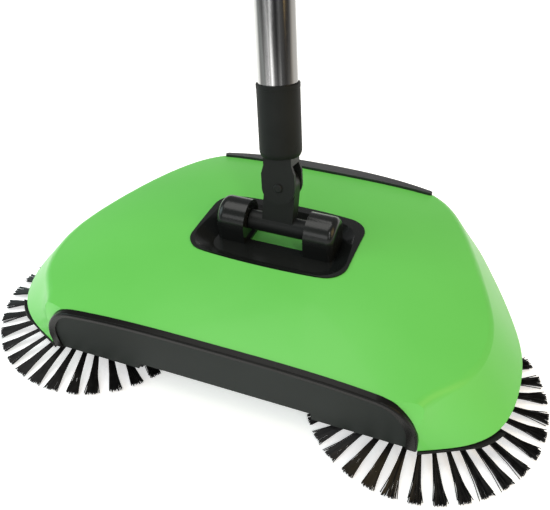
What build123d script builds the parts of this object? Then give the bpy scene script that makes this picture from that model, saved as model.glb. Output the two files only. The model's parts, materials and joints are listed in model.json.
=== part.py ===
"""Push sweeper with two side brushes, a driven centre roller, a rear dust drawer and a jointed pole.

Millimetres. +X is the sweeper's right, +Y points back towards the user, +Z is up and the floor is z = 0.
While it is being modelled, y = 0 is the line through both brush axes. The finished pieces are then moved
along Y, so that the origin lies on the floor under the middle of the whole object.
"""
from build123d import *
from math import atan2, cos, degrees, hypot, pi, radians, sin, sqrt
import os

# ---------------------------------------------------------------- driving dimensions
# Fits
RUNNING_CLEARANCE = 0.05        # radial play of a pin or axle in its bore
SIDE_CLEARANCE = 0.3            # gap between faces that turn or slide past each other
SCREW_HOLE_PLAY = 0.1           # a screw's free hole round its shank
SCREW_SEAT_PLAY = 0.2           # a screw's countersink round its head

# Side brushes
BRUSH_CENTRE_X = 114.7
BRUSH_TIP_RADIUS = 75.0
TUFT_COUNT = 33
TUFT_ROOT_RADIUS = 25.0         # where the tufts start inside the hub
TUFT_ROOT_SIZE = 3.6
TUFT_TIP_WIDTH = 8.6
TUFT_TIP_HEIGHT = 3.0
TUFT_ROOT_Z = 9.2
TUFT_TIP_GAP = 0.3              # tips just clear of the floor
TUFT_PHASE_RIGHT = -2.0         # how far each brush is turned from a tuft pointing straight ahead
TUFT_PHASE_LEFT = 1.5
HUB_RADIUS = 31.0
HUB_BOTTOM_Z = 6.0
HUB_TOP_Z = 12.5
HUB_CHAMFER = 1.2
HUB_DISH_INSET = 4.0
HUB_DISH_DEPTH = 1.5
SPINDLE_RADIUS = 3.0
RETAINER_HEAD_RADIUS = 5.5
RETAINER_HEAD_HEIGHT = 2.0
RETAINER_SHANK_RADIUS = 1.6
RETAINER_DEPTH = 10.0
RETAINER_HEAD_GAP = 0.02
RETAINER_HEAD_FILLET = 0.8
CROSS_SLOT_LENGTH = 6.0
CROSS_SLOT_WIDTH = 1.0
CROSS_SLOT_DEPTH = 1.1

# Gears between the axle and the brushes
GEAR_PITCH = 5.65               # tooth spacing along the pitch line
PINION_TEETH = 10
FACE_GEAR_TEETH = 30
TOOTH_ADDENDUM = 0.9
TOOTH_DEDENDUM = 1.4
TOOTH_ROOT_WIDTH = 2.3
TOOTH_TIP_WIDTH = 1.3
GEAR_FACE_WIDTH = 5.4
TOOTH_ROOT_SINK = 0.4           # a tooth starts this deep inside its wheel
TOOTH_END_GAP = 0.2             # teeth of the face gear stay inside its rim
FACE_GEAR_SLEEVE = 9.0          # its boss above the plate

# Drive axle, wheels and centre roller
AXLE_RADIUS = 3.0
AXLE_OVERRUN = 5.0              # axle beyond the pinion's outer face
WHEEL_RADIUS = 24.0
TYRE_THICKNESS = 4.0
WHEEL_WIDTH = 10.0
WHEEL_CENTRE_X = 32.0
WHEEL_HUB_WALL = 3.5
WHEEL_RIM_WALL = 3.0
WHEEL_WEB_HALF = 1.2
WHEEL_SPOKES = 6
SPOKE_HALF_WIDTH = 1.3
TYRE_EDGE_FILLET = 1.0
GROOVE_SPACING = 1.67
GROOVE_HALF_WIDTH = 0.6
GROOVE_DEPTH = 0.8
ROLLER_CORE_RADIUS = 9.0
ROLLER_END_GAP = 0.5            # roller core to wheel
BRISTLE_RADIUS = 23.3
BRISTLE_STRIPS = 6
BRISTLE_END_GAP = 0.5
BRISTLE_SINK = 0.6              # how deep a strip is set in the core
BRISTLE_ROOT_THICKNESS = 3.4
BRISTLE_TIP_THICKNESS = 2.0

# Body outline: right-hand side, front to back. The lower outline lies at LOWER_Z, the shoulder at SHOULDER_Z
LOWER_Z = 17.0
SHOULDER_Z = 52.0
NOSE_Y = -64.0                  # the outline runs straight ahead to here, before the front is trimmed
LOWER_SIDE = [(118.5, -51.0), (134.5, -44.5), (150.5, -36.0), (161.5, -26.0), (169.5, -12.0), (173.5, 6.0),
              (173.0, 28.0), (163.0, 58.0), (137.0, 107.0), (117.0, 137.0), (99.0, 153.0), (78.0, 159.0)]
SHOULDER_SIDE = [(117.5, -51.0), (124.5, -42.5), (131.0, -32.0), (137.5, -20.0), (141.5, -8.0), (143.6, 6.0),
                 (142.5, 26.0), (133.5, 57.0), (112.0, 106.0), (98.0, 131.0), (89.0, 142.0), (76.0, 150.0)]
LOWER_REAR_Y = 160.5
SHOULDER_REAR_Y = 156.0
TOP_Z = 65.6                    # crown of the body
CROWN_Y = 0.0                   # where the crown is highest
CROWN_RADIUS_Y = 520.0          # its curve from front to back
CROWN_FLAT_X = 75.0             # the crown is gently curved out to here
CROWN_FALL_FLAT = 2.2           # its fall there
CROWN_FALL_SHOULDER = 15.5      # its fall above the shoulder
CROWN_SHOULDER_X = 143.0
NOSE_ARCH_HALF_WIDTH = 120.0    # rounded arch that the fascia closes
NOSE_ARCH_TOP_Z = 63.8
NOSE_ARCH_RADIUS = 39.2
NOSE_ARCH_FLARE_X = 2.1         # how fast the arch opens out behind the fascia
NOSE_ARCH_FLARE_Z = 0.2
SHOULDER_RADIUS = 8.0           # rounding of the shoulder
SHOULDER_ABOVE_Z = 35.0         # the shoulder's edges lie above this
SHOULDER_FROM_Y = -40.0         # and behind this
SHELL_WALL = 2.5

# Lower edge of the shell, from side view: (y, z)
SHELL_EDGE = [(-70.0, 17.0), (-44.0, 17.0), (2.0, 22.5), (60.0, 24.0), (112.0, 21.5), (150.0, 17.0),
              (175.0, 17.0)]

# Front fascia
FASCIA_FOOT_Y = -50.2           # its front face at the floor side
FASCIA_LEAN = 4.6               # degrees the face leans forward
FASCIA_THICKNESS = 4.5
FASCIA_PROUD = 0.8
FASCIA_FIT = 0.1                # gap between the fascia's rim and the shell's front edge
FASCIA_TOP_LIP = 2.3            # width of the raised lip over the top
FASCIA_END_LIP = 5.6            # and down the two ends
FASCIA_CORNER_RADIUS = 25.0     # where the panel's top edge turns down into its ends
FIELD_CORNER_RADIUS = 15.0
KINK_ABOVE_Z = 50.0             # those corners lie above this
KINK_BEYOND_X = 90.0            # and beyond this
FASCIA_EDGE_RADIUS = 1.2
FASCIA_RECESS = 1.5
FASCIA_SIDE_Z = 17.4
FASCIA_MIDDLE_Z = 23.6
THROAT_HALF_WIDTH = 57.7

# Base tray
BASE_BOTTOM_Z = 14.0
BASE_THICKNESS = 3.0
BASE_RIM_TOP_Z = 29.0
SHELL_SIDE_EDGE_Z = 24.0        # the tray keeps inside the outline at this height
BASE_RIM_WALL = 2.2
FLANGE_PROUD = 1.0
FLANGE_GAP = 0.5
FLANGE_TAPER_Y = -44.0          # the flange thins out from here
FLANGE_REAR_Y = -22.0           # to here
THROAT_REAR_Y = 29.0
BRIDGE_REAR_Y = 40.0
BAY_HALF_WIDTH = 76.5
AXLE_POST_X = 60.5
AXLE_POST_WIDTH = 4.5
AXLE_POST_DEPTH = 13.0
AXLE_POST_CAP = 4.5             # plastic above the axle

# Gear covers
COVER_RADIUS = 34.5
COVER_WALL = 2.0
COVER_TOP_Z = 38.0
COVER_TOP_THICKNESS = 2.5
COVER_CHAMFER = 3.0
SPINDLE_BOSS_RADIUS = 7.0
SPINDLE_BOSS_DROP = 12.0
BUSH_RADIUS = 5.0
BUSH_LENGTH = 5.0

# Dust scoop behind the roller
SCOOP_RADIUS = 26.5
SCOOP_THICKNESS = 1.8
SCOOP_HALF_WIDTH = 39.0
SCOOP_LIP_FROM = 56.5           # degrees below the level of the axle
SCOOP_LIP_TO = 48.0

# Dust drawer
BIN_HALF_WIDTH = 74.5
BIN_FRONT_Y = 41.0
BIN_REAR_Y = 152.5
BIN_BOTTOM_Z = 7.0
BIN_SIDE_TOP_Z = 36.0
BIN_FRONT_TOP_Z = 18.0
BIN_WALL = 2.0
BIN_CORNER_RADIUS = 4.0
DOORWAY_PLAY = 2.0              # room over the drawer in the shell's rear opening
DOORWAY_DEPTH = 8.0
STRIP_HALF_WIDTH = 83.0
STRIP_FRONT_Y = 146.0
STRIP_END_Y = 150.8
STRIP_REAR_Y = 158.5
STRIP_PROUD = 2.0
STRIP_DEPTH = 5.0
STRIP_CLEARANCE = 0.5

# Rear rollers
REAR_ROLLER_X = 98.0
REAR_ROLLER_Y = 118.0
REAR_ROLLER_RADIUS = 9.5
REAR_ROLLER_WIDTH = 10.0
REAR_PIN_RADIUS = 2.0
EAR_THICKNESS = 2.5
EAR_BOTTOM_Z = 5.5
EAR_HALF_DEPTH = 7.0
EAR_FILLET = 4.0
REAR_ROLLER_FILLET = 1.2
REAR_SLOT_PLAY = 2.0            # room before and behind a rear roller in the tray's slot

# Screws
SCREW_PLACES = [(72.0, -34.0), (138.0, 50.0), (92.0, 141.0)]
SCREW_RADIUS = 1.6
SCREW_HEAD_RADIUS = 3.4
SCREW_HEAD_HEIGHT = 1.6
SCREW_RECESS_RADIUS = 1.0       # the driver's socket in the head
SCREW_RECESS_DEPTH = 0.8
SCREW_LENGTH = 14.0
BOSS_RADIUS = 4.2

# Dished swivel plate in the body's top
PLATE_HALF_WIDTH = 53.9
PLATE_FRONT_Y = 16.6
PLATE_FRONT_CORNER_Y = 18.8
PLATE_REAR_Y = 85.2
PLATE_REAR_CORNER_Y = 81.5
PLATE_CORNER_RADIUS = 15.0
PLATE_INNER_CORNER_RADIUS = 3.0 # the dish's corners get no sharper than this
PLATE_RIM_PROUD = 0.9
PLATE_RIM_WIDTH = 2.2
PLATE_WALL = 2.0
DISH_DEPTH = 7.8                # from the body's top down to the dish floor
DISH_SLOPE = 1.2                # how far the dish wall runs in for each millimetre down
WINDOW_HALF_WIDTH = 19.0
WINDOW_FRONT_Y = 47.0
WINDOW_REAR_Y = 62.0
PITCH_Y = 54.2
PITCH_Z = 67.3
PITCH_PIN_RADIUS = 3.0
PITCH_PIN_HALF_LENGTH = 34.0
KNUCKLE_INNER_X = 20.6
KNUCKLE_OUTER_X = 40.8
KNUCKLE_RADIUS = 13.2
KNUCKLE_END_FILLET = 5.0
KNUCKLE_FOOT_DEPTH = 10.0       # below the round part, down past the dish floor
PLATE_SCREW_X = 30.0
PLATE_SCREW_Y_FROM_PITCH = 8.0
PLATE_SCREW_RADIUS = 1.5
PLATE_SCREW_DEPTH = 7.0
PLATE_SCREW_HEAD_RADIUS = 3.2
PLATE_SCREW_HEAD_HEIGHT = 1.8
PLATE_SCREW_HEAD_GAP = 0.5      # head to the shell's underside

# Neck and pole, measured along the pole from the pitch axis
POLE_LEAN = 18.0                # degrees the neck and pole lean back at rest
POLE_TILT = -6.8                # degrees the pole then tilts to the right at rest, so this is to the left
BARREL_RADIUS = 6.6
BARREL_EDGE_FILLET = 0.8
NECK_WIDTH = 21.0
NECK_THICKNESS = 10.4
TILT_HEIGHT = 28.4
TILT_PIN_RADIUS = 2.5
TILT_HEAD_RADIUS = 3.0
TILT_HEAD_HEIGHT = 1.2
TILT_HEAD_FILLET = 0.96
CHEEK_THICKNESS = 2.4
CHEEK_WIDTH = 22.4
FORK_TOP_WIDTH = 18.8           # the fork narrows to this under the socket
FORK_TAPER_START = 37.6
FORK_TAPER_END = 43.1
FORK_SLOT_TOP = 42.7
FORK_SHOULDER = 51.0            # the fork is seated in the socket up to here
SPIGOT_TOP = 60.0
SOCKET_BOTTOM = 45.0
SOCKET_TOP = 93.7
SOCKET_RADIUS = 13.6
SOCKET_LIP_RADIUS = 13.8
SOCKET_LIP_HEIGHT = 3.0
SOCKET_LIP_FILLET = 0.4
SOCKET_BOTTOM_FILLET = 7.5
TUBE_RADIUS = 12.5
TUBE_WALL = 0.4
TUBE_SECTION = 325.0
TUBE_SECTIONS = 3
JOINER_LENGTH = 9.0
JOINER_RADIUS = 13.3
JOINER_PLUG = 22.0
JOINER_EDGE_FILLET = 0.7
GRIP_RADIUS = 15.6
GRIP_LENGTH = 118.0
GRIP_END_FILLET = 3.5
GRIP_OVERLAP = 110.0            # tube inside the grip
CAP_LENGTH = 46.0
CAP_COLLAR = 8.0
CAP_COLLAR_RADIUS = 14.7
CAP_COLLAR_FILLET = 2.5
CAP_EYE_ROOT = 3.0              # how far the eye reaches down into the collar
CAP_WIDTH = 25.0
CAP_THICKNESS = 10.0
HANG_HOLE_RADIUS = 5.0
HANG_HOLE_FROM_TOP = 12.5

# ---------------------------------------------------------------- worked out from those
AXLE_Z = WHEEL_RADIUS
PINION_PITCH_RADIUS = GEAR_PITCH * PINION_TEETH / (2 * pi)
FACE_GEAR_PITCH_RADIUS = GEAR_PITCH * FACE_GEAR_TEETH / (2 * pi)
MESH_Z = AXLE_Z - PINION_PITCH_RADIUS
PINION_X = BRUSH_CENTRE_X - FACE_GEAR_PITCH_RADIUS
AXLE_HALF_LENGTH = PINION_X + GEAR_FACE_WIDTH / 2 + AXLE_OVERRUN
BASE_TOP_Z = BASE_BOTTOM_Z + BASE_THICKNESS
COVER_INNER_RADIUS = COVER_RADIUS - COVER_WALL
TUBE_START = SPIGOT_TOP + SIDE_CLEARANCE
POLE_TOP = (TUBE_START + TUBE_SECTIONS * TUBE_SECTION + (TUBE_SECTIONS - 1) * JOINER_LENGTH
            + GRIP_LENGTH - GRIP_OVERLAP + CAP_LENGTH)
DEEP = 200.0                    # longer than any piece that is cut with it


# ---------------------------------------------------------------- small helpers
def block(x_from, x_to, y_from, y_to, z_from, z_to):
    """A box given by its limits."""
    box = Box(x_to - x_from, y_to - y_from, z_to - z_from)
    return Pos((x_from + x_to) / 2, (y_from + y_to) / 2, (z_from + z_to) / 2) * box


def bar_x(radius, x_from, x_to, y, z):
    return Pos((x_from + x_to) / 2, y, z) * Rot(0, 90, 0) * Cylinder(radius, x_to - x_from)


def bar_y(radius, y_from, y_to, x, z):
    return Pos(x, (y_from + y_to) / 2, z) * Rot(90, 0, 0) * Cylinder(radius, y_to - y_from)


def bar_z(radius, z_from, z_to, x=0.0, y=0.0):
    return Pos(x, y, (z_from + z_to) / 2) * Cylinder(radius, z_to - z_from)


def left_of(shape):
    """The mirror image on the sweeper's left."""
    return mirror(shape, about=Plane.YZ)


def both_sides(shape):
    return shape + left_of(shape)


def upright_prism(outline):
    """A tall prism over a closed outline in plan."""
    return extrude(outline, amount=DEEP)


def side_prism(points, half_width):
    """A prism along X over a polygon of (y, z) points."""
    plane = Plane(origin=(-half_width, 0, 0), x_dir=(0, 1, 0), z_dir=(1, 0, 0))
    return extrude(plane * make_face(Polyline(*points, close=True)), amount=2 * half_width)


# ---------------------------------------------------------------- the body's own shape
def moved_in(points, inset):
    """Side points moved inwards by the inset, each square to the line between its neighbours."""
    moved = []
    for i, (x, y) in enumerate(points):
        before = points[max(i - 1, 0)]
        after = points[min(i + 1, len(points) - 1)]
        along_x = after[0] - before[0]
        along_y = after[1] - before[1]
        length = hypot(along_x, along_y)
        moved.append((x - inset * along_y / length, y + inset * along_x / length))
    return moved


def body_outline(points, rear_y, inset):
    """Closed outline in plan: straight nose, curved sides, slightly bowed rear."""
    side = moved_in(points, inset)
    nose_x = side[0][0]
    rear_x, corner_y = side[-1]
    right = Spline(*side, tangents=((1, 0.35), (-1, 0.03)), tangent_scalars=(0.6, 1))
    front = Polyline((-nose_x, side[0][1]), (-nose_x, NOSE_Y), (nose_x, NOSE_Y), (nose_x, side[0][1]))
    rear = ThreePointArc((rear_x, corner_y), (0, rear_y - inset), (-rear_x, corner_y))
    left = left_of(right)
    return make_face(front + right + rear + left)


def crown(inset):
    """Solid below the body's domed top, lowered by the inset."""
    beyond_x = 190.0
    slope = 2 * CROWN_FALL_FLAT / CROWN_FLAT_X
    run = CROWN_SHOULDER_X - CROWN_FLAT_X
    bend = (CROWN_FALL_SHOULDER - CROWN_FALL_FLAT - slope * run) / run ** 2
    beyond = beyond_x - CROWN_FLAT_X
    beyond_fall = CROWN_FALL_FLAT + slope * beyond + bend * beyond ** 2
    sections = []
    for y in (-80.0, -20.0, 45.0, 110.0, 180.0):
        top = TOP_Z - inset - (y - CROWN_Y) ** 2 / (2 * CROWN_RADIUS_Y)
        right = [(CROWN_FLAT_X, top - CROWN_FALL_FLAT), (CROWN_SHOULDER_X, top - CROWN_FALL_SHOULDER),
                 (beyond_x, top - beyond_fall)]
        left = [(-x, z) for x, z in reversed(right)]
        arch = Spline(*left, (0, top), *right)
        walls = Polyline(right[-1], (beyond_x, -30.0), (-beyond_x, -30.0), left[0])
        plane = Plane(origin=(0, y, 0), x_dir=(1, 0, 0), z_dir=(0, -1, 0))
        sections.append(plane * make_face(arch + walls))
    return loft(sections)


def arch_section(inset, y, behind=0.0):
    """Rounded arch in an upright plane, opened out by its distance behind the front."""
    half_width = NOSE_ARCH_HALF_WIDTH - inset + NOSE_ARCH_FLARE_X * behind
    top = NOSE_ARCH_TOP_Z - inset + NOSE_ARCH_FLARE_Z * behind
    sheet = Polyline((-half_width, -30), (-half_width, top), (half_width, top), (half_width, -30), close=True)
    face = make_face(sheet)
    corners = face.vertices().sort_by(Axis.Y)[-2:]
    plane = Plane(origin=(0, y, 0), x_dir=(1, 0, 0), z_dir=(0, -1, 0))
    return plane * fillet(corners, NOSE_ARCH_RADIUS - inset)


def nose_arch(inset):
    """Rounded arch at the front that opens out behind the fascia and so rounds only the front corners."""
    front_y = LOWER_SIDE[0][1]
    rear_y = LOWER_REAR_Y + 20
    sections = [arch_section(inset, NOSE_Y - 5), arch_section(inset, front_y),
                arch_section(inset, rear_y, rear_y - front_y)]
    return loft(sections, ruled=True)


def outline_at(z, inset):
    """The skirt's outline at one height."""
    share = (z - LOWER_Z) / (SHOULDER_Z - LOWER_Z)
    side = [(lower_x + (upper_x - lower_x) * share, lower_y + (upper_y - lower_y) * share)
            for (lower_x, lower_y), (upper_x, upper_y) in zip(LOWER_SIDE, SHOULDER_SIDE)]
    rear_y = LOWER_REAR_Y + (SHOULDER_REAR_Y - LOWER_REAR_Y) * share
    return body_outline(side, rear_y, inset)


def body_solid(inset):
    """The body's outer shape, or the same shape moved in by a wall."""
    bottom = BASE_BOTTOM_Z - 4.0
    top = TOP_Z + 6.0
    ends = [Pos(0, 0, z) * outline_at(z, inset) for z in (bottom, top)]
    return loft(ends, ruled=True) & crown(inset) & nose_arch(inset)


def rounded_body(inset):
    """The body's shape with its shoulder rounded."""
    body = body_solid(inset)
    shoulder = [edge for edge in body.edges()
                if edge.center().Z > SHOULDER_ABOVE_Z and edge.center().Y > SHOULDER_FROM_Y]
    return fillet(shoulder, SHOULDER_RADIUS - inset)


def leaning_slab(front_offset, rear_offset):
    """Slab parallel to the fascia's face: from front_offset to rear_offset behind that face."""
    reach = 90.0
    shift = reach * sin(radians(FASCIA_LEAN)) / cos(radians(FASCIA_LEAN))
    foot = FASCIA_FOOT_Y
    return side_prism([(foot + front_offset, 0), (foot + rear_offset, 0),
                       (foot + rear_offset - shift, reach), (foot + front_offset - shift, reach)], DEEP)


# ---------------------------------------------------------------- body pieces
def strip_plan(clearance):
    """Plan of the dark strip along the top rear edge."""
    half = STRIP_HALF_WIDTH + clearance
    front = STRIP_FRONT_Y - clearance
    end = STRIP_END_Y + clearance
    rear = STRIP_REAR_Y + clearance
    corner = 3.0
    front_edge = Line((-half + corner, front), (half - corner, front))
    rear_edge = ThreePointArc((half - corner, end), (0, rear), (-half + corner, end))
    right_end = ThreePointArc((half - corner, front), (half, (front + end) / 2), (half - corner, end))
    return make_face(front_edge + right_end + rear_edge + left_of(right_end))


def screw_bosses():
    bosses = Part()
    for x, y in SCREW_PLACES:
        bosses += bar_z(BOSS_RADIUS, BASE_TOP_Z, TOP_Z, x, y)
        bosses -= bar_z(SCREW_RADIUS, 0, BASE_TOP_Z + SCREW_LENGTH, x, y)
    return both_sides(bosses)


def top_shell():
    """Thin cover, open at the front for the fascia and at the rear for the dust drawer."""
    outer = rounded_body(0) - dish_room(0, 0)
    shell = outer - (rounded_body(SHELL_WALL) - dish_room(-SHELL_WALL, SHELL_WALL))
    shell += screw_bosses() & outer
    shell -= fascia_arch(-FASCIA_PROUD - FASCIA_FIT, -DEEP / 2, FASCIA_THICKNESS)
    edge = Spline(*SHELL_EDGE)
    below = Polyline(SHELL_EDGE[-1], (SHELL_EDGE[-1][0], -10), (SHELL_EDGE[0][0], -10), SHELL_EDGE[0])
    plane = Plane(origin=(-DEEP, 0, 0), x_dir=(0, 1, 0), z_dir=(1, 0, 0))
    shell -= extrude(plane * make_face(edge + below), amount=2 * DEEP) - both_sides(screw_column())
    door_top = BIN_SIDE_TOP_Z + DOORWAY_PLAY
    shell -= block(-BAY_HALF_WIDTH, BAY_HALF_WIDTH, BIN_REAR_Y - DOORWAY_DEPTH, DEEP, 0, door_top)
    shell -= upright_prism(strip_plan(STRIP_CLEARANCE))
    way_out = STRIP_HALF_WIDTH + STRIP_CLEARANCE
    shell -= block(-way_out, way_out, (STRIP_FRONT_Y + STRIP_END_Y) / 2, DEEP, door_top, DEEP)
    for x, y in plate_screw_places():
        shell -= bar_z(PLATE_SCREW_RADIUS + SCREW_HOLE_PLAY, 0, DEEP, x, y)
    return shell.solids().sort_by(SortBy.VOLUME)[-1]


def screw_column():
    """Room that the shell's lower edge cut leaves around the screw bosses."""
    column = Part()
    for x, y in SCREW_PLACES:
        column += bar_z(BOSS_RADIUS, BASE_TOP_Z, BASE_RIM_TOP_Z, x, y)
    return column


def fascia_arch(inset, front_offset, rear_offset, lift=0.0):
    """Slice of the straight front arch, between two offsets from the fascia's face."""
    straight = Pos(0, 0, lift) * extrude(arch_section(inset, 0), amount=DEEP)
    return straight & leaning_slab(front_offset, rear_offset)


def round_kinks(panel, radius):
    """Round the two short edges where the crown meets the arch's corners."""
    kinks = [edge for edge in panel.edges() if edge.center().Z > KINK_ABOVE_Z
             and abs(edge.center().X) > KINK_BEYOND_X and edge.length < 2 * FASCIA_THICKNESS]
    return fillet(kinks, radius)


def front_fascia():
    """Bumper panel that closes the front arch: raised lip over the top and ends, recessed field inside."""
    panel = fascia_arch(-FASCIA_PROUD, 0, FASCIA_THICKNESS) & crown(-FASCIA_PROUD)
    panel = round_kinks(panel, FASCIA_CORNER_RADIUS)
    front = panel.faces().filter_by(GeomType.PLANE).sort_by(Axis.Y)[0]
    outer_edge = [edge for edge in front.edges() if edge.center().Z > FASCIA_SIDE_Z]
    panel = fillet(outer_edge, FASCIA_EDGE_RADIUS)
    panel -= block(-DEEP, DEEP, -DEEP, 0, -DEEP, FASCIA_SIDE_Z)
    panel -= block(-THROAT_HALF_WIDTH, THROAT_HALF_WIDTH, -DEEP, 0, 0, FASCIA_MIDDLE_Z)
    field = fascia_arch(FASCIA_END_LIP, -1, FASCIA_RECESS, FASCIA_END_LIP - FASCIA_TOP_LIP)
    field &= crown(FASCIA_TOP_LIP)
    return panel - round_kinks(field, FIELD_CORNER_RADIUS)


def swept_circles(radius):
    return both_sides(bar_z(radius, -10, BASE_RIM_TOP_Z + 10, BRUSH_CENTRE_X, 0))


def axle_post():
    post = block(AXLE_POST_X, AXLE_POST_X + AXLE_POST_WIDTH, -AXLE_POST_DEPTH / 2, AXLE_POST_DEPTH / 2,
                 BASE_TOP_Z, AXLE_Z + AXLE_RADIUS + AXLE_POST_CAP)
    bore = bar_x(AXLE_RADIUS + RUNNING_CLEARANCE, 0, DEEP, 0, AXLE_Z)
    return post - bore


def roller_ears():
    """Two ears under the base for one rear roller."""
    half = REAR_ROLLER_WIDTH / 2 + SIDE_CLEARANCE
    ears = Part()
    for inner in (REAR_ROLLER_X - half - EAR_THICKNESS, REAR_ROLLER_X + half):
        ear = block(inner, inner + EAR_THICKNESS,
                    REAR_ROLLER_Y - EAR_HALF_DEPTH, REAR_ROLLER_Y + EAR_HALF_DEPTH, EAR_BOTTOM_Z, BASE_TOP_Z)
        ears += fillet(ear.edges().filter_by(Axis.X).group_by(Axis.Z)[0], EAR_FILLET)
    return ears - bar_x(REAR_PIN_RADIUS, 0, DEEP, REAR_ROLLER_Y, REAR_ROLLER_RADIUS)


def corner_flange(gap):
    """Thin edge of the tray that shows under the shell at the two front corners."""
    flange = body_solid(-FLANGE_PROUD) - body_solid(gap + BASE_RIM_WALL)
    flange_top = BASE_TOP_Z - FLANGE_GAP
    flange &= side_prism([(-DEEP, BASE_BOTTOM_Z), (FLANGE_TAPER_Y, BASE_BOTTOM_Z),
                          (FLANGE_REAR_Y, flange_top), (-DEEP, flange_top)], DEEP)
    return flange - fascia_arch(-FASCIA_PROUD - SIDE_CLEARANCE, -DEEP / 2, FASCIA_THICKNESS + SIDE_CLEARANCE)


def base_tray():
    """Floor of the body with an upstanding rim inside the shell's skirt."""
    gap = SHELL_WALL + SIDE_CLEARANCE
    behind_fascia = leaning_slab(FASCIA_THICKNESS + SIDE_CLEARANCE, DEEP * 2)
    tray = body_solid(gap) & behind_fascia & block(-DEEP, DEEP, -DEEP, DEEP, BASE_BOTTOM_Z, BASE_RIM_TOP_Z)
    tray &= upright_prism(outline_at(SHELL_SIDE_EDGE_Z, gap))
    tray += corner_flange(gap)
    hollow = body_solid(gap + BASE_RIM_WALL) & block(-DEEP, DEEP, -DEEP, DEEP, BASE_TOP_Z, DEEP)
    hollow &= upright_prism(outline_at(SHELL_SIDE_EDGE_Z, gap + BASE_RIM_WALL))
    hollow &= leaning_slab(FASCIA_THICKNESS + SIDE_CLEARANCE + BASE_RIM_WALL, DEEP * 2)
    tray -= hollow
    tray -= block(-THROAT_HALF_WIDTH, THROAT_HALF_WIDTH, -DEEP, THROAT_REAR_Y, 0, DEEP)
    tray -= block(-BAY_HALF_WIDTH, BAY_HALF_WIDTH, BRIDGE_REAR_Y, DEEP, 0, DEEP)
    tray -= swept_circles(COVER_INNER_RADIUS)
    slot_half = REAR_ROLLER_WIDTH / 2 + SIDE_CLEARANCE
    slot_reach = REAR_ROLLER_RADIUS + REAR_SLOT_PLAY
    slot = block(REAR_ROLLER_X - slot_half, REAR_ROLLER_X + slot_half,
                 REAR_ROLLER_Y - slot_reach, REAR_ROLLER_Y + slot_reach, 0, BASE_TOP_Z)
    tray -= both_sides(slot)
    tray += both_sides(axle_post())
    tray += both_sides(roller_ears())
    holes = Part()
    for x, y in SCREW_PLACES:
        holes += bar_z(SCREW_RADIUS + SCREW_HOLE_PLAY, 0, BASE_TOP_Z, x, y)
        holes += bar_z(SCREW_HEAD_RADIUS + SCREW_SEAT_PLAY, 0, BASE_BOTTOM_Z + SCREW_HEAD_HEIGHT, x, y)
        holes += bar_z(BOSS_RADIUS + SIDE_CLEARANCE, BASE_TOP_Z, DEEP, x, y)
    return tray - both_sides(holes)


def base_screws():
    screws = Part()
    for x, y in SCREW_PLACES:
        head_top = BASE_BOTTOM_Z + SCREW_HEAD_HEIGHT
        screws += bar_z(SCREW_HEAD_RADIUS, BASE_BOTTOM_Z, head_top, x, y)
        screws -= bar_z(SCREW_RECESS_RADIUS, 0, BASE_BOTTOM_Z + SCREW_RECESS_DEPTH, x, y)
        screws += bar_z(SCREW_RADIUS, head_top, BASE_TOP_Z + SCREW_LENGTH, x, y)
    return both_sides(screws)


# ---------------------------------------------------------------- gear covers, spindles, bushes
def gear_cover():
    """Cap over one brush gear, standing on the base tray."""
    outside = bar_z(COVER_RADIUS, BASE_TOP_Z, COVER_TOP_Z, BRUSH_CENTRE_X)
    outside = chamfer(outside.edges().group_by(Axis.Z)[-1], COVER_CHAMFER)
    cover = outside - bar_z(COVER_INNER_RADIUS, 0, COVER_TOP_Z - COVER_TOP_THICKNESS, BRUSH_CENTRE_X)
    cover += bar_z(SPINDLE_BOSS_RADIUS, COVER_TOP_Z - SPINDLE_BOSS_DROP, COVER_TOP_Z - COVER_TOP_THICKNESS,
                   BRUSH_CENTRE_X)
    cover -= bar_z(SPINDLE_RADIUS, 0, COVER_TOP_Z - COVER_TOP_THICKNESS / 2, BRUSH_CENTRE_X)
    return cover - bar_x(BUSH_RADIUS, 0, BRUSH_CENTRE_X - 10, 0, AXLE_Z)


def brush_spindles():
    spindle = bar_z(SPINDLE_RADIUS, HUB_BOTTOM_Z, COVER_TOP_Z - COVER_TOP_THICKNESS / 2, BRUSH_CENTRE_X)
    screw_hole = bar_z(RETAINER_SHANK_RADIUS, 0, HUB_BOTTOM_Z + RETAINER_DEPTH, BRUSH_CENTRE_X)
    return both_sides(spindle - screw_hole)


def brush_retainers():
    """Screw with a broad head under each hub."""
    top = HUB_BOTTOM_Z - RETAINER_HEAD_GAP
    screw = bar_z(RETAINER_HEAD_RADIUS, top - RETAINER_HEAD_HEIGHT, top, BRUSH_CENTRE_X)
    screw = fillet(screw.edges().group_by(Axis.Z)[0], RETAINER_HEAD_FILLET)
    screw += bar_z(RETAINER_SHANK_RADIUS, top, HUB_BOTTOM_Z + RETAINER_DEPTH, BRUSH_CENTRE_X)
    head_bottom = top - RETAINER_HEAD_HEIGHT
    for length, width in ((CROSS_SLOT_LENGTH, CROSS_SLOT_WIDTH), (CROSS_SLOT_WIDTH, CROSS_SLOT_LENGTH)):
        screw -= Pos(BRUSH_CENTRE_X, 0, head_bottom) * Box(length, width, 2 * CROSS_SLOT_DEPTH)
    return both_sides(screw)


def axle_bushes():
    middle = BRUSH_CENTRE_X - COVER_RADIUS + COVER_WALL / 2
    bush = bar_x(BUSH_RADIUS, middle - BUSH_LENGTH / 2, middle + BUSH_LENGTH / 2, 0, AXLE_Z)
    return both_sides(bush - bar_x(AXLE_RADIUS + RUNNING_CLEARANCE, 0, DEEP, 0, AXLE_Z))


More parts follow.
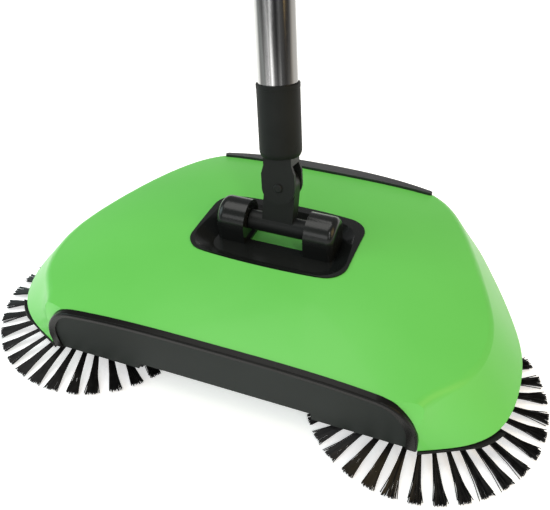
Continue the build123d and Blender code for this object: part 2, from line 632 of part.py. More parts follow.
# ---------------------------------------------------------------- side brushes
def tuft():
    """One bundle of bristles along +X, narrow at the hub and fanned out at the tip."""
    root_plane = Plane(origin=(TUFT_ROOT_RADIUS, 0, TUFT_ROOT_Z), x_dir=(0, 1, 0), z_dir=(1, 0, 0))
    tip_z = TUFT_TIP_GAP + TUFT_TIP_HEIGHT / 2
    tip_plane = Plane(origin=(BRUSH_TIP_RADIUS, 0, tip_z), x_dir=(0, 1, 0), z_dir=(1, 0, 0))
    root = root_plane * RectangleRounded(TUFT_ROOT_SIZE, TUFT_ROOT_SIZE, TUFT_ROOT_SIZE / 3)
    tip = tip_plane * RectangleRounded(TUFT_TIP_WIDTH, TUFT_TIP_HEIGHT, TUFT_TIP_HEIGHT / 3)
    return loft([root, tip], ruled=True)


def brush_tufts(side, phase):
    """All tufts of one brush, as separate solids."""
    one = tuft()
    centre = Pos(side * BRUSH_CENTRE_X, 0, 0)
    step = 360 / TUFT_COUNT
    return Part() + [centre * Rot(0, 0, -90 + phase + k * step) * one for k in range(TUFT_COUNT)]


def brush_hub(side, tufts):
    x = side * BRUSH_CENTRE_X
    hub = bar_z(HUB_RADIUS, HUB_BOTTOM_Z, HUB_TOP_Z, x)
    hub = chamfer(hub.edges().group_by(Axis.Z)[0], HUB_CHAMFER)
    hub -= bar_z(SPINDLE_RADIUS + RUNNING_CLEARANCE, 0, DEEP, x)
    dish = bar_z(TUFT_ROOT_RADIUS - HUB_DISH_INSET, HUB_BOTTOM_Z, HUB_BOTTOM_Z + HUB_DISH_DEPTH, x)
    dish -= bar_z(RETAINER_HEAD_RADIUS + 2, HUB_BOTTOM_Z, DEEP, x)
    return hub - dish - tufts


def face_gear(side):
    """Crown gear on top of a brush hub; a gap between two teeth faces the pinion at rest."""
    plate_top = MESH_Z - TOOTH_DEDENDUM
    tooth_top = MESH_Z + TOOTH_ADDENDUM
    inner = FACE_GEAR_PITCH_RADIUS - GEAR_FACE_WIDTH / 2
    outer = FACE_GEAR_PITCH_RADIUS + GEAR_FACE_WIDTH / 2
    gear = bar_z(outer, HUB_TOP_Z, plate_top)
    gear += bar_z(SPINDLE_BOSS_RADIUS, plate_top, plate_top + FACE_GEAR_SLEEVE)
    plane = Plane(origin=(inner + TOOTH_END_GAP, 0, 0), x_dir=(0, 1, 0), z_dir=(1, 0, 0))
    profile = Polyline((-TOOTH_ROOT_WIDTH / 2, plate_top), (TOOTH_ROOT_WIDTH / 2, plate_top),
                       (TOOTH_TIP_WIDTH / 2, tooth_top), (-TOOTH_TIP_WIDTH / 2, tooth_top), close=True)
    tooth = extrude(plane * make_face(profile), amount=outer - inner - 3 * TOOTH_END_GAP)
    mesh_direction = 180 if side > 0 else 0
    step = 360 / FACE_GEAR_TEETH
    for k in range(FACE_GEAR_TEETH):
        gear += Rot(0, 0, mesh_direction + (k + 0.5) * step) * tooth
    gear -= bar_z(SPINDLE_RADIUS + RUNNING_CLEARANCE, 0, DEEP)
    return Pos(side * BRUSH_CENTRE_X, 0, 0) * gear


# ---------------------------------------------------------------- axle, wheels, roller
def drive_axle():
    return bar_x(AXLE_RADIUS, -AXLE_HALF_LENGTH, AXLE_HALF_LENGTH, 0, AXLE_Z)


def pinion(side):
    """Ten-tooth pinion on the axle with one tooth pointing straight down."""
    root_radius = PINION_PITCH_RADIUS - TOOTH_DEDENDUM + TOOTH_ROOT_SINK
    tip_radius = PINION_PITCH_RADIUS + TOOTH_ADDENDUM
    start = side * PINION_X - GEAR_FACE_WIDTH / 2
    gear = bar_x(root_radius, start, start + GEAR_FACE_WIDTH, 0, 0)
    plane = Plane(origin=(start, 0, 0), x_dir=(0, 1, 0), z_dir=(1, 0, 0))
    tooth_root = -root_radius + TOOTH_ROOT_SINK
    profile = Polyline((-TOOTH_ROOT_WIDTH / 2, tooth_root), (TOOTH_ROOT_WIDTH / 2, tooth_root),
                       (TOOTH_TIP_WIDTH / 2, -tip_radius), (-TOOTH_TIP_WIDTH / 2, -tip_radius), close=True)
    tooth = extrude(plane * make_face(profile), amount=GEAR_FACE_WIDTH)
    for k in range(PINION_TEETH):
        gear += Rot(k * 360 / PINION_TEETH, 0, 0) * tooth
    gear -= bar_x(AXLE_RADIUS, -DEEP, DEEP, 0, 0)
    return Pos(0, 0, AXLE_Z) * gear


def wheel(side):
    """Spoked plastic wheel body."""
    x = side * WHEEL_CENTRE_X
    half = WHEEL_WIDTH / 2
    rim_radius = WHEEL_RADIUS - TYRE_THICKNESS
    body = bar_x(rim_radius, x - half, x + half, 0, AXLE_Z)
    pocket = bar_x(rim_radius - WHEEL_RIM_WALL, -half, half, 0, 0)
    pocket -= bar_x(AXLE_RADIUS + WHEEL_HUB_WALL, -half, half, 0, 0)
    pocket -= block(-WHEEL_WEB_HALF, WHEEL_WEB_HALF, -DEEP, DEEP, -DEEP, DEEP)
    spoke_pair = block(-half, half, -SPOKE_HALF_WIDTH, SPOKE_HALF_WIDTH, -DEEP, DEEP)
    for k in range(WHEEL_SPOKES // 2):
        pocket -= Rot(k * 360 / WHEEL_SPOKES, 0, 0) * spoke_pair
    return body - Pos(x, 0, AXLE_Z) * pocket - bar_x(AXLE_RADIUS, -DEEP, DEEP, 0, AXLE_Z)


def tyre(side):
    x = side * WHEEL_CENTRE_X
    half = WHEEL_WIDTH / 2
    ring = bar_x(WHEEL_RADIUS, x - half, x + half, 0, AXLE_Z)
    ring = fillet(ring.edges().filter_by(GeomType.CIRCLE), TYRE_EDGE_FILLET)
    for k in (-1, 1):
        groove_x = x + k * GROOVE_SPACING
        groove = bar_x(DEEP, groove_x - GROOVE_HALF_WIDTH, groove_x + GROOVE_HALF_WIDTH, 0, AXLE_Z)
        ring -= groove - bar_x(WHEEL_RADIUS - GROOVE_DEPTH, groove_x - 1, groove_x + 1, 0, AXLE_Z)
    return ring - bar_x(WHEEL_RADIUS - TYRE_THICKNESS, -DEEP, DEEP, 0, AXLE_Z)


def roller_half_length():
    return WHEEL_CENTRE_X - WHEEL_WIDTH / 2 - ROLLER_END_GAP


def roller_core():
    half = roller_half_length()
    return bar_x(ROLLER_CORE_RADIUS, -half, half, 0, AXLE_Z) - bar_x(AXLE_RADIUS, -DEEP, DEEP, 0, AXLE_Z)


def roller_bristles():
    """Straight rows of bristles around the roller core, as separate solids."""
    half = roller_half_length() - BRISTLE_END_GAP
    plane = Plane(origin=(-half, 0, 0), x_dir=(0, 1, 0), z_dir=(1, 0, 0))
    root = ROLLER_CORE_RADIUS - BRISTLE_SINK
    root_half = BRISTLE_ROOT_THICKNESS / 2
    tip_half = BRISTLE_TIP_THICKNESS / 2
    profile = Polyline((-root_half, root), (root_half, root), (tip_half, BRISTLE_RADIUS),
                       (-tip_half, BRISTLE_RADIUS), close=True)
    strip = extrude(plane * make_face(profile), amount=2 * half)
    strip -= bar_x(ROLLER_CORE_RADIUS, -DEEP, DEEP, 0, 0)
    step = 360 / BRISTLE_STRIPS
    return Part() + [Pos(0, 0, AXLE_Z) * Rot((k + 0.5) * step, 0, 0) * strip for k in range(BRISTLE_STRIPS)]


def rear_roller(side):
    x = side * REAR_ROLLER_X
    half = REAR_ROLLER_WIDTH / 2
    roller = bar_x(REAR_ROLLER_RADIUS, x - half, x + half, REAR_ROLLER_Y, REAR_ROLLER_RADIUS)
    roller = fillet(roller.edges().filter_by(GeomType.CIRCLE), REAR_ROLLER_FILLET)
    return roller - bar_x(REAR_PIN_RADIUS + RUNNING_CLEARANCE, -DEEP, DEEP, REAR_ROLLER_Y, REAR_ROLLER_RADIUS)


def rear_pins():
    half = REAR_ROLLER_WIDTH / 2 + SIDE_CLEARANCE + EAR_THICKNESS
    return both_sides(bar_x(REAR_PIN_RADIUS, REAR_ROLLER_X - half, REAR_ROLLER_X + half, REAR_ROLLER_Y,
                            REAR_ROLLER_RADIUS))


# ---------------------------------------------------------------- dust path
def scoop_arc(angle_from, angle_to):
    """Part of a tube around the axle, between two angles below the level of the axle."""
    outer = SCOOP_RADIUS + SCOOP_THICKNESS
    tube = bar_x(outer, -SCOOP_HALF_WIDTH, SCOOP_HALF_WIDTH, 0, AXLE_Z)
    tube -= bar_x(SCOOP_RADIUS, -DEEP, DEEP, 0, AXLE_Z)
    low = radians(angle_from)
    high = radians(angle_to)
    wedge = [(0, AXLE_Z), (DEEP * cos(low), AXLE_Z - DEEP * sin(low)),
             (DEEP * cos(high), AXLE_Z - DEEP * sin(high))]
    return tube & side_prism(wedge, DEEP)


def dust_scoop():
    """Curved ramp behind the roller with a shelf that leads into the drawer."""
    shelf_top = BASE_TOP_Z + SCOOP_THICKNESS
    shelf_angle = degrees(atan2(AXLE_Z - shelf_top, sqrt(SCOOP_RADIUS ** 2 - (AXLE_Z - shelf_top) ** 2)))
    ramp = scoop_arc(SCOOP_LIP_TO, shelf_angle)
    shelf_start = SCOOP_RADIUS * cos(radians(shelf_angle))
    shelf = block(-SCOOP_HALF_WIDTH, SCOOP_HALF_WIDTH, shelf_start, BRIDGE_REAR_Y, BASE_TOP_Z, shelf_top)
    shelf -= bar_x(SCOOP_RADIUS, -DEEP, DEEP, 0, AXLE_Z)
    return ramp + shelf


def scoop_lip():
    return scoop_arc(SCOOP_LIP_FROM, SCOOP_LIP_TO)


def dust_drawer():
    """Open tray that slides out backwards; its front wall is low, so the roller throws over it."""
    outer = block(-BIN_HALF_WIDTH, BIN_HALF_WIDTH, BIN_FRONT_Y, BIN_REAR_Y, BIN_BOTTOM_Z, BIN_SIDE_TOP_Z)
    outer = fillet(outer.edges().filter_by(Axis.Z), BIN_CORNER_RADIUS)
    drawer = outer - block(-BIN_HALF_WIDTH + BIN_WALL, BIN_HALF_WIDTH - BIN_WALL, BIN_FRONT_Y + BIN_WALL,
                           BIN_REAR_Y - BIN_WALL, BIN_BOTTOM_Z + BIN_WALL, DEEP)
    between_corners = BIN_HALF_WIDTH - BIN_CORNER_RADIUS
    drawer -= block(-between_corners, between_corners,
                    0, BIN_FRONT_Y + BIN_CORNER_RADIUS, BIN_FRONT_TOP_Z, DEEP)
    strip_underside = crown(STRIP_DEPTH - STRIP_PROUD)
    upright = block(-between_corners, between_corners,
                    BIN_REAR_Y - BIN_WALL, BIN_REAR_Y, BIN_SIDE_TOP_Z, DEEP)
    return drawer + (upright & strip_underside)


def drawer_strip():
    """Dark strip along the rear edge: the drawer's rim and finger grip."""
    layer = crown(-STRIP_PROUD) - crown(STRIP_DEPTH - STRIP_PROUD)
    return upright_prism(strip_plan(0)) & layer


# ---------------------------------------------------------------- swivel on the body
def plate_plan(inset):
    half = PLATE_HALF_WIDTH - inset
    front = PLATE_FRONT_Y + inset
    rear = PLATE_REAR_Y - inset
    front_corner = PLATE_FRONT_CORNER_Y + inset
    rear_corner = PLATE_REAR_CORNER_Y - inset
    front_edge = ThreePointArc((-half, front_corner), (0, front), (half, front_corner))
    rear_edge = ThreePointArc((half, rear_corner), (0, rear), (-half, rear_corner))
    right = Line((half, front_corner), (half, rear_corner))
    sheet = make_face(front_edge + right + rear_edge + left_of(right))
    return fillet(sheet.vertices(), max(PLATE_CORNER_RADIUS - inset, PLATE_INNER_CORNER_RADIUS))


def plate_screw_places():
    reach = PLATE_SCREW_Y_FROM_PITCH
    return [(x, PITCH_Y + dy) for x in (-PLATE_SCREW_X, PLATE_SCREW_X) for dy in (-reach, reach)]


def knuckle():
    round_part = bar_x(KNUCKLE_RADIUS, KNUCKLE_INNER_X, KNUCKLE_OUTER_X, PITCH_Y, PITCH_Z)
    foot_z = PITCH_Z - KNUCKLE_RADIUS - KNUCKLE_FOOT_DEPTH
    foot = block(KNUCKLE_INNER_X, KNUCKLE_OUTER_X, PITCH_Y - KNUCKLE_RADIUS, PITCH_Y + KNUCKLE_RADIUS,
                 foot_z, PITCH_Z)
    whole = round_part + foot
    outer_edges = whole.edges().filter_by(lambda e: e.center().X > KNUCKLE_OUTER_X - 0.1
                                          and e.center().Z > foot_z + 1)
    return fillet(outer_edges, KNUCKLE_END_FILLET)


def dish_room(inset, extra_depth):
    """The hollow of the dish, with sloping walls, down to its floor. A negative inset makes it larger."""
    low = PITCH_Z - 20.0
    high = PITCH_Z + 10.0
    mid = crown_height(0, PITCH_Y)
    ends = [Pos(0, 0, z) * plate_plan(PLATE_RIM_WIDTH + inset + (mid - z) * DISH_SLOPE) for z in (low, high)]
    return loft(ends, ruled=True) - crown(DISH_DEPTH + PLATE_WALL + extra_depth)


def swivel_plate():
    """Dished plate with a raised rim, a window at the pole and two bearing knuckles."""
    rim = upright_prism(plate_plan(0)) & (crown(-PLATE_RIM_PROUD) - crown(0))
    plate = rim + (dish_room(0, 0) & crown(0))
    plate -= dish_room(PLATE_WALL, -PLATE_WALL)
    plate -= block(-WINDOW_HALF_WIDTH, WINDOW_HALF_WIDTH, WINDOW_FRONT_Y, WINDOW_REAR_Y, 0, DEEP)
    plate += both_sides(knuckle()) - (crown(0) - dish_room(0, 0))
    plate -= bar_x(PITCH_PIN_RADIUS, -PITCH_PIN_HALF_LENGTH, PITCH_PIN_HALF_LENGTH, PITCH_Y, PITCH_Z)
    for x, y in plate_screw_places():
        plate -= bar_z(PLATE_SCREW_RADIUS, 0, floor_underside(x, y) + PLATE_SCREW_DEPTH, x, y)
    return plate


def floor_underside(x, y):
    return crown_height(x, y) - DISH_DEPTH - PLATE_WALL


def crown_height(x, y):
    """Height of the body's top above the floor, inside the gently curved middle."""
    return TOP_Z - CROWN_FALL_FLAT * (x / CROWN_FLAT_X) ** 2 - (y - CROWN_Y) ** 2 / (2 * CROWN_RADIUS_Y)


def plate_screws():
    """Screws from inside the body up into the swivel plate."""
    screws = Part()
    for x, y in plate_screw_places():
        underside = floor_underside(x, y)
        head_top = underside - SHELL_WALL - PLATE_SCREW_HEAD_GAP
        screws += bar_z(PLATE_SCREW_HEAD_RADIUS, head_top - PLATE_SCREW_HEAD_HEIGHT, head_top, x, y)
        screws += bar_z(PLATE_SCREW_RADIUS, head_top, underside + PLATE_SCREW_DEPTH, x, y)
    return screws


def pitch_pin():
    return bar_x(PITCH_PIN_RADIUS, -PITCH_PIN_HALF_LENGTH, PITCH_PIN_HALF_LENGTH, PITCH_Y, PITCH_Z)


# ---------------------------------------------------------------- neck and pole, upright about the pitch axis
def swivel_neck():
    """Barrel that turns on the pitch pin and the flat tongue that carries the tilt pin."""
    barrel_half = KNUCKLE_INNER_X - SIDE_CLEARANCE
    barrel = bar_x(BARREL_RADIUS, -barrel_half, barrel_half, 0, 0)
    barrel = fillet(barrel.edges().filter_by(GeomType.CIRCLE), BARREL_EDGE_FILLET)
    half = NECK_WIDTH / 2
    thick = NECK_THICKNESS / 2
    tongue = block(-half, half, -thick, thick, 0, TILT_HEIGHT) + bar_y(half, -thick, thick, 0, TILT_HEIGHT)
    neck = barrel + tongue
    neck -= bar_x(PITCH_PIN_RADIUS + RUNNING_CLEARANCE, -DEEP, DEEP, 0, 0)
    return neck - bar_y(TILT_PIN_RADIUS + RUNNING_CLEARANCE, -DEEP, DEEP, 0, TILT_HEIGHT)


def pole_fork():
    """Fork that straddles the tongue: cheeks rounded about the tilt pin, a narrowed top and a spigot."""
    inner = NECK_THICKNESS / 2 + SIDE_CLEARANCE
    outer = inner + CHEEK_THICKNESS
    half = CHEEK_WIDTH / 2
    top_half = FORK_TOP_WIDTH / 2
    plane = Plane(origin=(0, outer, 0), x_dir=(1, 0, 0), z_dir=(0, -1, 0))
    right = [(half, TILT_HEIGHT), (half, FORK_TAPER_START), (top_half, FORK_TAPER_END),
             (top_half, FORK_SHOULDER)]
    sides = Polyline(*right, *[(-x, z) for x, z in reversed(right)])
    rounded_end = ThreePointArc((-half, TILT_HEIGHT), (0, TILT_HEIGHT - half), (half, TILT_HEIGHT))
    body = extrude(plane * make_face(sides + rounded_end), amount=2 * outer)
    body -= block(-DEEP, DEEP, -inner, inner, 0, FORK_SLOT_TOP)
    spigot = bar_z(TUBE_RADIUS - TUBE_WALL, FORK_SHOULDER, SPIGOT_TOP)
    return body + spigot - bar_y(TILT_PIN_RADIUS, -DEEP, DEEP, 0, TILT_HEIGHT)


def tilt_pin():
    """Rivet with a domed head at each end."""
    reach = NECK_THICKNESS / 2 + SIDE_CLEARANCE + CHEEK_THICKNESS
    pin = bar_y(TILT_PIN_RADIUS, -reach, reach, 0, TILT_HEIGHT)
    for side in (-1, 1):
        low = min(side * reach, side * (reach + TILT_HEAD_HEIGHT))
        head = bar_y(TILT_HEAD_RADIUS, low, low + TILT_HEAD_HEIGHT, 0, TILT_HEIGHT)
        outer_edge = head.edges().filter_by(GeomType.CIRCLE).sort_by(Axis.Y)[0 if side < 0 else -1]
        pin += fillet(outer_edge, TILT_HEAD_FILLET)
    return pin


def pole_socket():
    """Collar that joins the fork's spigot to the lowest tube."""
    collar = bar_z(SOCKET_RADIUS, SOCKET_BOTTOM, SOCKET_TOP)
    collar = fillet(collar.edges().group_by(Axis.Z)[0], SOCKET_BOTTOM_FILLET)
    lip = bar_z(SOCKET_LIP_RADIUS, SOCKET_TOP - SOCKET_LIP_HEIGHT, SOCKET_TOP)
    collar += fillet(lip.edges().filter_by(GeomType.CIRCLE), SOCKET_LIP_FILLET)
    fork_half = NECK_THICKNESS / 2 + SIDE_CLEARANCE + CHEEK_THICKNESS
    collar -= block(-FORK_TOP_WIDTH / 2, FORK_TOP_WIDTH / 2, -fork_half, fork_half, 0, FORK_SHOULDER)
    collar -= bar_z(TUBE_RADIUS - TUBE_WALL, 0, SPIGOT_TOP)
    return collar - bar_z(TUBE_RADIUS, SPIGOT_TOP, DEEP)


def tube_start(section):
    return TUBE_START + section * (TUBE_SECTION + JOINER_LENGTH)


def pole_tube(section):
    start = tube_start(section)
    outside = bar_z(TUBE_RADIUS, start, start + TUBE_SECTION)
    return outside - bar_z(TUBE_RADIUS - TUBE_WALL, start - 1, start + TUBE_SECTION + 1)


def pole_joiner(section):
    """Ring between two tubes with a plug into each."""
    low = tube_start(section) + TUBE_SECTION
    ring = bar_z(JOINER_RADIUS, low, low + JOINER_LENGTH)
    ring = fillet(ring.edges().filter_by(GeomType.CIRCLE), JOINER_EDGE_FILLET)
    return ring + bar_z(TUBE_RADIUS - TUBE_WALL, low - JOINER_PLUG, low + JOINER_LENGTH + JOINER_PLUG)


def pole_grip():
    top = tube_start(TUBE_SECTIONS - 1) + TUBE_SECTION + GRIP_LENGTH - GRIP_OVERLAP
    grip = bar_z(GRIP_RADIUS, top - GRIP_LENGTH, top)
    grip = fillet(grip.edges().filter_by(GeomType.CIRCLE), GRIP_END_FILLET)
    return grip - bar_z(TUBE_RADIUS, 0, POLE_TOP)


def end_cap():
    """Cap on the grip: a collar, a plug into the tube and a flat eye with the hanging hole."""
    collar_bottom = POLE_TOP - CAP_LENGTH
    tube_top = tube_start(TUBE_SECTIONS - 1) + TUBE_SECTION
    collar = bar_z(CAP_COLLAR_RADIUS, collar_bottom, collar_bottom + CAP_COLLAR)
    collar = fillet(collar.edges().group_by(Axis.Z)[-1], CAP_COLLAR_FILLET)
    half = CAP_WIDTH / 2
    thick = CAP_THICKNESS / 2
    eye = block(-half, half, -thick, thick, collar_bottom + CAP_COLLAR - CAP_EYE_ROOT, POLE_TOP - half)
    eye += bar_y(half, -thick, thick, 0, POLE_TOP - half)
    cap = collar + eye
    cap += bar_z(TUBE_RADIUS, tube_top, collar_bottom)
    cap += bar_z(TUBE_RADIUS - TUBE_WALL, tube_top - JOINER_PLUG, tube_top)
    return cap - bar_y(HANG_HOLE_RADIUS, -DEEP, DEEP, 0, POLE_TOP - HANG_HOLE_FROM_TOP)


def leaned(shape):
    """From upright about the pitch axis to the neck's place and lean at rest."""
    return Pos(0, PITCH_Y, PITCH_Z) * Rot(-POLE_LEAN, 0, 0) * shape


def tilted(shape):
    """The neck's lean, and the pole's own tilt about its pin."""
    return leaned(Pos(0, 0, TILT_HEIGHT) * Rot(0, POLE_TILT, 0) * Pos(0, 0, -TILT_HEIGHT) * shape)


# ---------------------------------------------------------------- the whole sweeper
def all_pieces():
    pieces = {
        "top_shell": top_shell(),
        "front_fascia": front_fascia(),
        "base_tray": base_tray(),
        "base_screws": base_screws(),
        "gear_cover_right": gear_cover(),
        "gear_cover_left": left_of(gear_cover()),
        "brush_spindles": brush_spindles(),
        "brush_retainers": brush_retainers(),
        "axle_bushes": axle_bushes(),
        "dust_scoop": dust_scoop(),
        "scoop_lip": scoop_lip(),
        "rear_pins": rear_pins(),
        "swivel_plate": swivel_plate(),
        "plate_screws": plate_screws(),
        "pitch_pin": pitch_pin(),
        "dust_drawer": dust_drawer(),
        "drawer_strip": drawer_strip(),
        "drive_axle": drive_axle(),
        "roller_core": roller_core(),
        "roller_bristles": roller_bristles(),
        "swivel_neck": leaned(swivel_neck()),
        "pole_fork": tilted(pole_fork()),
        "tilt_pin": tilted(tilt_pin()),
        "pole_socket": tilted(pole_socket()),
        "pole_grip": tilted(pole_grip()),
        "end_cap": tilted(end_cap()),
    }
    for name, side, phase in (("right", 1, TUFT_PHASE_RIGHT), ("left", -1, TUFT_PHASE_LEFT)):
        tufts = brush_tufts(side, phase)
        pieces["brush_tufts_" + name] = tufts
        pieces["brush_hub_" + name] = brush_hub(side, tufts)
        pieces["brush_gear_" + name] = face_gear(side)
        pieces["wheel_" + name] = wheel(side)
        pieces["tyre_" + name] = tyre(side)
        pieces["pinion_" + name] = pinion(side)
        pieces["rear_roller_" + name] = rear_roller(side)
    for section in range(TUBE_SECTIONS):
        pieces["pole_tube_" + str(section + 1)] = tilted(pole_tube(section))
    for section in range(TUBE_SECTIONS - 1):
        pieces["pole_joiner_" + str(section + 1)] = tilted(pole_joiner(section))
    return pieces


def main():
    pieces = all_pieces()
    boxes = [shape.bounding_box() for shape in pieces.values()]
    middle_y = (min(box.min.Y for box in boxes) + max(box.max.Y for box in boxes)) / 2
    os.makedirs("parts", exist_ok=True)
    for name, shape in pieces.items():
        export_step(Pos(0, -middle_y, 0) * shape, "parts/" + name + ".step")
    print("brush line at y =", round(-middle_y, 4))
    print("pole top along the pole =", round(POLE_TOP, 3))


if __name__ == "__main__":
    main()
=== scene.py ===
# %% [markdown]
# # A carpet sweeper
# The frame holds the finished solids: body, gears, brushes, drawer, swivel and pole. It is loaded first.
# Only finishes and fine detail are added here, because the shapes that carry load already come from the solids.

# %% load the frame
import json
import random
from math import cos, degrees, pi, radians, sin

import bpy
from mathutils import Matrix, Vector


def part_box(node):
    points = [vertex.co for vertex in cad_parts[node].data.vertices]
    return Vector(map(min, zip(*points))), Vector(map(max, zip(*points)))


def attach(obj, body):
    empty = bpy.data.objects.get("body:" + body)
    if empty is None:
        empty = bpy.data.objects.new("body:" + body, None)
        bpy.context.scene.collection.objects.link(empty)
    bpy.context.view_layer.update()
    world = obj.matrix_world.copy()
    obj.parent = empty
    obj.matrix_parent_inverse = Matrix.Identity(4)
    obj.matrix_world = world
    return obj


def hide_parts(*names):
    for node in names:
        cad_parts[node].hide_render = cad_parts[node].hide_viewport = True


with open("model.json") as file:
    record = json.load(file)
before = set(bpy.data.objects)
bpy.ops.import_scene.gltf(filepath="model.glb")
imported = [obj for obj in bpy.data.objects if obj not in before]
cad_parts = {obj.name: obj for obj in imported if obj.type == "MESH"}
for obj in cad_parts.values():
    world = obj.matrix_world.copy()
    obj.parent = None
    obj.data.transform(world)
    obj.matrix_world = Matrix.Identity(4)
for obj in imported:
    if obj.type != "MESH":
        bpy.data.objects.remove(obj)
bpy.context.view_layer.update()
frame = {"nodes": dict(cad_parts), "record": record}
nodes = frame["nodes"]
print("frame loaded with", len(nodes), "pieces")

# %% [markdown]
# The origin is on the floor under the middle of the whole object's box. The pole leans out far behind, so the
# body isn't centred there. Wherever it can be, a place is therefore read from a piece's own box instead of being
# typed in. The axle gives the line on which the roller and both brushes lie.

# %% places that everything else is set from
MM = 0.001


def middle_of(node):
    """The middle of a piece's box."""
    low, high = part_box(node)
    return (low + high) / 2


BRUSH_LINE_Y = middle_of("drive_axle").y
AXLE_Z = middle_of("drive_axle").z
LIGHTS_MIDDLE_Y = BRUSH_LINE_Y + 47 * MM
print("brush line at y =", round(BRUSH_LINE_Y, 4), "m, axle at z =", round(AXLE_Z, 4), "m")

# %% [markdown]
# ## Camera
# The camera stands in front of the sweeper and to its right, a little over half a metre away, and looks down on
# it by 43 degrees. It is a normal lens, turned a few degrees about its own axis. Its three axes are built from
# the two viewing angles and that roll, which is easier to follow than three Euler angles.

# %% camera
VIEW_AZIMUTH = radians(23.91)
VIEW_ELEVATION = radians(42.99)
VIEW_ROLL = radians(3.85)
CAMERA_X = 0.1468
CAMERA_AHEAD = 0.2874
CAMERA_HEIGHT = 0.387
LENS_MM = 48.586
SENSOR_MM = 36.0

forward = Vector((-sin(VIEW_AZIMUTH) * cos(VIEW_ELEVATION), cos(VIEW_AZIMUTH) * cos(VIEW_ELEVATION),
                  -sin(VIEW_ELEVATION)))
level_right = Vector((cos(VIEW_AZIMUTH), sin(VIEW_AZIMUTH), 0.0))
level_down = forward.cross(level_right)
right = level_right * cos(VIEW_ROLL) + level_down * sin(VIEW_ROLL)
down = level_down * cos(VIEW_ROLL) - level_right * sin(VIEW_ROLL)

camera_data = bpy.data.cameras.new("camera")
camera_data.lens = LENS_MM
camera_data.sensor_width = SENSOR_MM
camera_data.clip_start = 10 * MM
camera = bpy.data.objects.new("camera", camera_data)
bpy.context.scene.collection.objects.link(camera)
turn = Matrix((right, -down, -forward)).transposed().to_4x4()
camera.matrix_world = Matrix.Translation((CAMERA_X, BRUSH_LINE_Y - CAMERA_AHEAD, CAMERA_HEIGHT)) @ turn
bpy.context.scene.camera = camera
bpy.context.scene.view_settings.view_transform = "Standard"
print("camera at", [round(v, 3) for v in camera.location])

# %% [markdown]
# ## Floor and lights
# A white floor and large soft lights, as in a small product studio. The floor glows a little, so that it looks
# white without strong light. A wide soft box hangs over the sweeper, a warm one stands on its right, a cool one
# on its left and a plain one in front. A long low card far in front is mirrored in the glossy black plastic, and
# one narrow strip on the right adds a thin highlight.

# %% floor
def new_material(name):
    """A material and its shader."""
    material = bpy.data.materials.new(name)
    material.use_nodes = True
    return material, material.node_tree.nodes["Principled BSDF"]


bpy.ops.object.select_all(action="DESELECT")
bpy.ops.mesh.primitive_grid_add(x_subdivisions=2, y_subdivisions=2, size=24.0, location=(0, 0, 0))
floor = bpy.context.object
floor.name = "studio_floor"
floor_material, floor_shader = new_material("studio_white")
floor_shader.inputs["Base Color"].default_value = (0.93, 0.93, 0.93, 1.0)
floor_shader.inputs["Roughness"].default_value = 0.9
floor_shader.inputs["Specular IOR Level"].default_value = 0.1
floor_shader.inputs["Emission Color"].default_value = (1.0, 1.0, 1.0, 1.0)
floor_shader.inputs["Emission Strength"].default_value = 0.5
floor.data.materials.append(floor_material)
print("floor laid")

# %% lights
WHITE = (1.0, 1.0, 1.0)


def soft_box(name, place, target, width, height, power, tint):
    """A rectangular light that faces its target. Both are measured from a point on the floor under the body."""
    light_data = bpy.data.lights.new(name, "AREA")
    light_data.shape = "RECTANGLE"
    light_data.size = width
    light_data.size_y = height
    light_data.energy = power
    light_data.color = tint
    light = bpy.data.objects.new(name, light_data)
    bpy.context.scene.collection.objects.link(light)
    aim = (Vector(target) - Vector(place)).normalized()
    light.rotation_euler = aim.to_track_quat("-Z", "Y").to_euler()
    light.location = Vector(place) + Vector((0.0, LIGHTS_MIDDLE_Y, 0.0))
    print(name, "of", power, "W")


soft_box("over_box", (-0.35, 0.25, 1.9), (0, 0, 0), 1.8, 1.4, 23.0, (1.0, 0.99, 0.96))
soft_box("left_box", (-1.7, -0.5, 0.9), (0, 0, 0.1), 1.1, 1.1, 12.0, (0.78, 1.0, 0.98))
soft_box("right_box", (1.6, -0.1, 0.9), (0, 0, 0.1), 0.9, 1.1, 9.5, (1.0, 0.68, 0.26))
soft_box("front_box", (-0.3, -1.9, 1.1), (0, 0, 0.05), 1.5, 0.7, 8.0, WHITE)
soft_box("front_card", (0.6, -3.6, 0.25), (0, 0, 0.4), 5.0, 1.1, 17.0, WHITE)
soft_box("strip_right", (0.75, -0.8, 1.0), (0, 0, 0.1), 0.05, 0.8, 3.0, WHITE)

# %% [markdown]
# The sky is white where the camera sees it directly, so that the background is as white as the floor round the
# sweeper. For everything else it is dim, because a white sky from all sides would wash shadows and reflections
# out.

# %% sky
DIM_SKY_STRENGTH = 0.30

world = bpy.data.worlds.new("studio")
bpy.context.scene.world = world
world.use_nodes = True
sky_tree = world.node_tree
dim_sky = sky_tree.nodes["Background"]
dim_sky.inputs["Color"].default_value = (0.97, 0.98, 1.0, 1.0)
dim_sky.inputs["Strength"].default_value = DIM_SKY_STRENGTH
white_sky = sky_tree.nodes.new("ShaderNodeBackground")
white_sky.inputs["Color"].default_value = (1.0, 1.0, 1.0, 1.0)
ray = sky_tree.nodes.new("ShaderNodeLightPath")
either = sky_tree.nodes.new("ShaderNodeMixShader")
sky_tree.links.new(ray.outputs["Is Camera Ray"], either.inputs["Fac"])
sky_tree.links.new(dim_sky.outputs["Background"], either.inputs[1])
sky_tree.links.new(white_sky.outputs["Background"], either.inputs[2])
sky_tree.links.new(either.outputs["Shader"], sky_tree.nodes["World Output"].inputs["Surface"])
print("sky lit at", DIM_SKY_STRENGTH)

